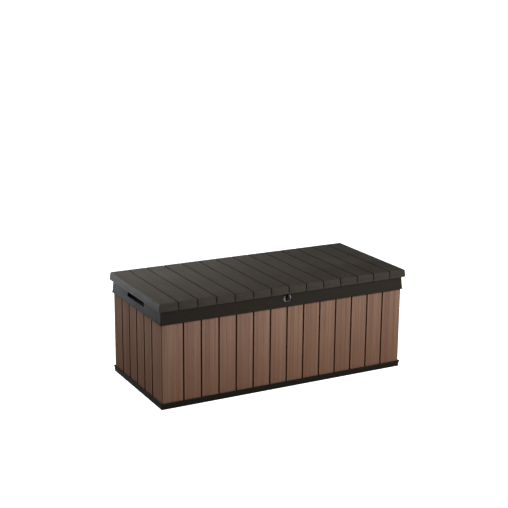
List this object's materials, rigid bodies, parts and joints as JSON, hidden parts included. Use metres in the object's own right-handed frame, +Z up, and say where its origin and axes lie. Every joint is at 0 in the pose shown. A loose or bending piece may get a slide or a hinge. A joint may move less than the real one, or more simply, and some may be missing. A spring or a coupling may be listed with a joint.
{
  "type": "deck storage box",
  "caption": "Long, low garden storage chest with plank-look resin walls, a dark collar and base, side hand holds, a padlock eye and a planked lid hinged at the back on gas struts.",
  "frame": {"origin": "middle of the footprint, on the ground", "axes": "+X along the box to the right seen from the front, +Y to the back, +Z up; the front faces -Y"},
  "size_m": [1.418, 0.646, 0.542],
  "materials": {
    "wall_resin": "wood-grain moulded, brown",
    "lid_resin": "wood-grain moulded, dark grey-brown",
    "collar_resin": "fine texture, dark grey-brown",
    "base_resin": "fine texture, near black",
    "black_resin": "fine texture, black",
    "black_rubber": "matt",
    "steel": "satin",
    "strut_paint": "satin black",
    "bright_rod": "polished"
  },
  "bodies": {
    "box": {"base_tray": "base_resin", "front_panel": "wall_resin", "back_panel": "wall_resin", "left_panel": "wall_resin", "right_panel": "wall_resin", "front_rail": "collar_resin", "back_rail": "collar_resin", "left_rail": "collar_resin", "right_rail": "collar_resin", "left_handle_pocket": "black_resin", "right_handle_pocket": "black_resin", "lid_bumpers": "black_rubber", "hinge_bracket_left": "black_resin", "hinge_bracket_middle": "black_resin", "hinge_bracket_right": "black_resin", "hinge_pin_left": "steel", "hinge_pin_middle": "steel", "hinge_pin_right": "steel", "left_strut_wall_bracket": "steel", "right_strut_wall_bracket": "steel", "lock_housing": "black_resin", "lock_plate": "steel", "hinge_bracket_screws": "steel", "strut_wall_screws": "steel"},
    "lid": {"lid_deck": "lid_resin", "lid_liner": "black_resin", "lid_beam_front": "steel", "lid_beam_rear": "steel", "hinge_leaf_left": "black_resin", "hinge_leaf_middle": "black_resin", "hinge_leaf_right": "black_resin", "left_strut_lid_bracket": "steel", "right_strut_lid_bracket": "steel", "lock_tongue": "black_resin", "hinge_leaf_screws": "steel", "liner_screws": "steel", "strut_lid_screws": "steel", "lock_tongue_screws": "steel"},
    "left_tube": {"left_strut_tube": "strut_paint", "left_strut_guide": "strut_paint", "left_strut_tube_socket": "black_resin"},
    "left_rod": {"left_strut_rod": "bright_rod", "left_strut_piston": "strut_paint", "left_strut_rod_socket": "black_resin"},
    "right_tube": {"right_strut_tube": "strut_paint", "right_strut_guide": "strut_paint", "right_strut_tube_socket": "black_resin"},
    "right_rod": {"right_strut_rod": "bright_rod", "right_strut_piston": "strut_paint", "right_strut_rod_socket": "black_resin"}
  },
  "joints": [
    {"name": "lid_hinge", "type": "hinge", "parent": "box", "child": "lid", "pos_m": [0, 0.31492, 0.495], "axis": [-1, 0, 0], "range_deg": [0, 80]},
    {"name": "left_rod_pivot", "type": "hinge", "parent": "box", "child": "left_rod", "pos_m": [-0.6395, 0.22378, 0.26213], "axis": [-1, 0, 0], "range_deg": [0, 40]},
    {"name": "left_tube_pivot", "type": "hinge", "parent": "lid", "child": "left_tube", "pos_m": [-0.6395, 0.06492, 0.501], "axis": [-1, 0, 0], "range_deg": [-40, 0]},
    {"name": "right_rod_pivot", "type": "hinge", "parent": "box", "child": "right_rod", "pos_m": [0.6395, 0.22378, 0.26213], "axis": [-1, 0, 0], "range_deg": [0, 40]},
    {"name": "right_tube_pivot", "type": "hinge", "parent": "lid", "child": "right_tube", "pos_m": [0.6395, 0.06492, 0.501], "axis": [-1, 0, 0], "range_deg": [-40, 0]}
  ],
  "couplings": [
    {"joint": "left_rod_pivot", "follows": "lid_hinge", "ratio": 0.5},
    {"joint": "left_tube_pivot", "follows": "lid_hinge", "ratio": -0.5},
    {"joint": "right_rod_pivot", "follows": "lid_hinge", "ratio": 0.5},
    {"joint": "right_tube_pivot", "follows": "lid_hinge", "ratio": -0.5}
  ]
}
